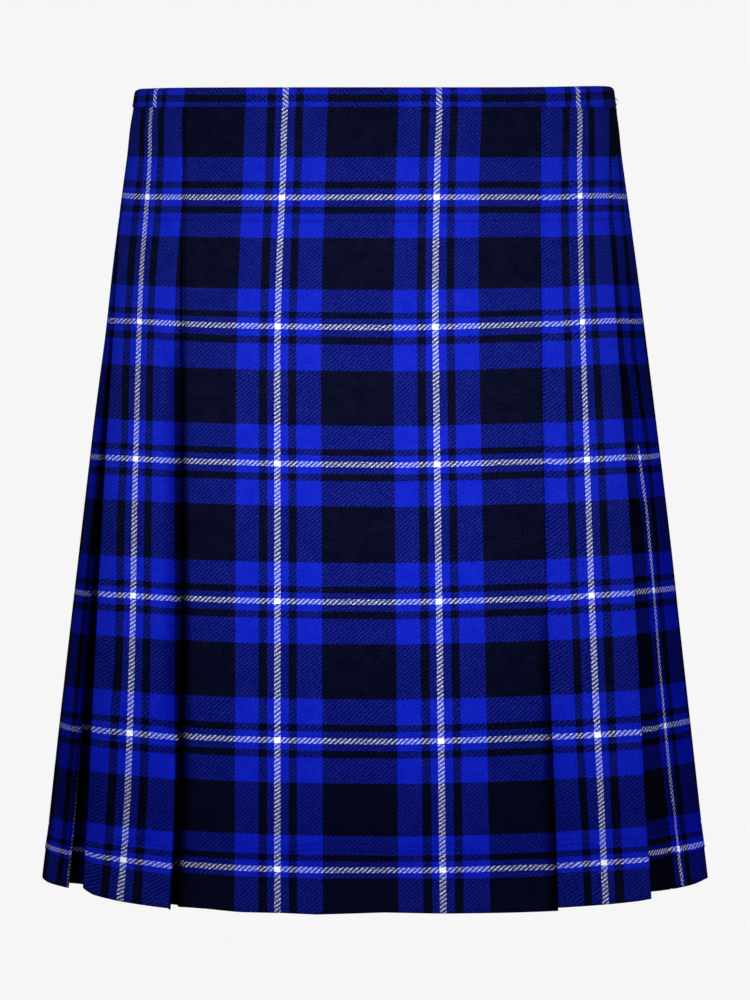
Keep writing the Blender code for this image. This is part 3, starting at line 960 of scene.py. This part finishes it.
apron = cloth_piece("front_apron_cloth", 0, 0, tartan("front apron tartan", 1), "front_apron")

# ---------------------------------------------------------------------------
# Right pleats: four knife pleats of the same twill on the wearer's left, from
# beside the apron to the back; the first two stand open at the hem.  Sewn
# down as far as the yoke line and into the waistband.
# ---------------------------------------------------------------------------
right_pleats = cloth_piece("right_pleats_cloth", 1, 4, tartan("right pleat tartan", 1), "right_pleats")

# ---------------------------------------------------------------------------
# Back pleats: four knife pleats of the same twill across the back, each
# showing one white line; sewn down as the ones at the sides are.
# ---------------------------------------------------------------------------
back_pleats = cloth_piece("back_pleats_cloth", 5, 8, tartan("back pleat tartan", 1), "back_pleats")

# ---------------------------------------------------------------------------
# Left pleats: four knife pleats of the same twill on the wearer's right; the
# last one's fold lies over the apron's edge.  Sewn down like the others.
# ---------------------------------------------------------------------------
left_pleats = cloth_piece("left_pleats_cloth", 9, 12, tartan("left pleat tartan", 1), "left_pleats")

# ---------------------------------------------------------------------------
# Waistband: a strip of the same tartan, turned so that its twill leans the
# other way, folded over the top edge and sewn through; its ends meet at the
# wearer's left.
# ---------------------------------------------------------------------------
BAND_HEIGHT = 0.0145
BAND_COLUMNS = 300
BAND_END_GAP = 0.0006
BAND_CLEARANCE = 0.0003  # between the cloth and the strip's outer side
BAND_REPEAT = 0.1127     # length of one warp repeat along the strip
BAND_WHITE = 0.0657      # how far a white line lies from the middle of the front
BAND_WEFT = 0.161        # weft repeat at its lower edge, and repeats to the metre
BAND_WEFTS = 9.8
BAND_PROFILE_TOP = 0.0040
BAND_STEPS = 5           # mesh rows up each side, and half round the top
BAND_ROUND = 12


def band_lift(turn):
    """The top edge rises towards the wearer's left hip and sags at the right one."""
    return 0.0003 + 0.0013 * bell(turn, 346.0, 24.0) - 0.0018 * math.exp(-abs(turn - 187.0) / 10.0)


def waistband_piece():
    """Bend the strip's profile over the top edge and run it round the waist."""
    outer = 2.0 * LAYER + WALL + BAND_CLEARANCE
    inner = -(WALL + 0.0005)
    middle = (outer + inner) / 2.0
    reach = (outer - inner) / 2.0
    bottom = BAND_TOP - BAND_HEIGHT
    crown = BAND_TOP - WALL / 2.0 - BAND_PROFILE_TOP
    climb = [bottom + (BAND_PROFILE_TOP - bottom) * n / BAND_STEPS for n in range(BAND_STEPS + 1)]
    profile = [(outer, z) for z in climb]
    for n in range(1, BAND_ROUND):
        turn = math.pi * n / BAND_ROUND
        profile.append((middle + reach * math.cos(turn), BAND_PROFILE_TOP + crown * math.sin(turn)))
    profile += [(inner, z) for z in reversed(climb)]
    points = []
    places = []
    run = 0.0
    last = profile[0]
    for offset, z in profile:
        run += math.dist(last, (offset, z))
        last = (offset, z)
        section = Section(BAND_TOP - z)
        start = BAND_END_SHARE * section.length + BAND_END_GAP / 2.0
        length = section.length - BAND_END_GAP
        row = []
        for n in range(BAND_COLUMNS + 1):
            s = start + length * n / BAND_COLUMNS
            x, y = section.place(s, offset)
            turn = 360.0 * n / BAND_COLUMNS
            points.append((x, y, z + band_lift(turn) * max(0.0, (z - bottom) / BAND_HEIGHT)))
            row.append(((s - section.length + BAND_WHITE) / BAND_REPEAT,
                        BAND_WEFT - run * BAND_WEFTS + 0.018 * bell(turn, 350.0, 18.0)))
        places.append(row)
    # the waistband gets no painted shade
    lit = [1.0] * len(points)
    plain = [0.0] * len(points)
    cloth = tartan("waistband tartan", -1)
    return sew("waistband_strip", points, places, places, lit, plain, cloth, "waistband")


waistband = waistband_piece()

# ---------------------------------------------------------------------------
# Eye: the small steel wire loop of a hook and eye, sewn at the waistband's
# end on the wearer's left.
# ---------------------------------------------------------------------------
EYE_WIRE = 0.0006
EYE_HEIGHT = 0.0048
EYE_REACH = 0.0030
EYE_Z = -0.0027
EYE_FROM_END = 0.003     # how far before the band's end it is sewn
EYE_SEWN_IN = 0.0016     # how much of it lies on the band
EYE_TURNS = 48
WIRE_SIDES = 10

section = Section(BAND_TOP - EYE_Z)
eye_x, eye_y = section.place(BAND_END_SHARE * section.length - EYE_FROM_END,
                             2.0 * LAYER + WALL * 1.5 + BAND_CLEARANCE)
eye_x += EYE_REACH / 2.0 - EYE_SEWN_IN
points = []
faces = []
for turn in range(EYE_TURNS):
    angle = 2.0 * math.pi * turn / EYE_TURNS
    for step in range(WIRE_SIDES):
        round_wire = 2.0 * math.pi * step / WIRE_SIDES
        out = EYE_WIRE / 2.0 * math.cos(round_wire)
        points.append((eye_x + (EYE_REACH / 2.0 + out) * math.cos(angle),
                       eye_y + EYE_WIRE / 2.0 * math.sin(round_wire),
                       EYE_Z + (EYE_HEIGHT / 2.0 + out) * math.sin(angle)))
        after = (step + 1) % WIRE_SIDES
        here = turn * WIRE_SIDES
        ahead = (turn + 1) % EYE_TURNS * WIRE_SIDES
        faces.append((here + step, here + after, ahead + after, ahead + step))
mesh = bpy.data.meshes.new("wire eye")
mesh.from_pydata(points, [], faces)
mesh.shade_smooth()
eye = bpy.data.objects.new("wire_eye", mesh)
bpy.context.scene.collection.objects.link(eye)
steel = bpy.data.materials.new("steel wire")
steel.use_nodes = True
shader = steel.node_tree.nodes["Principled BSDF"]
shader.inputs["Base Color"].default_value = (0.45, 0.45, 0.46, 1.0)
shader.inputs["Metallic"].default_value = 0.8
shader.inputs["Roughness"].default_value = 0.35
mesh.materials.append(steel)
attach(eye, "root")
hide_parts("waist_eye")
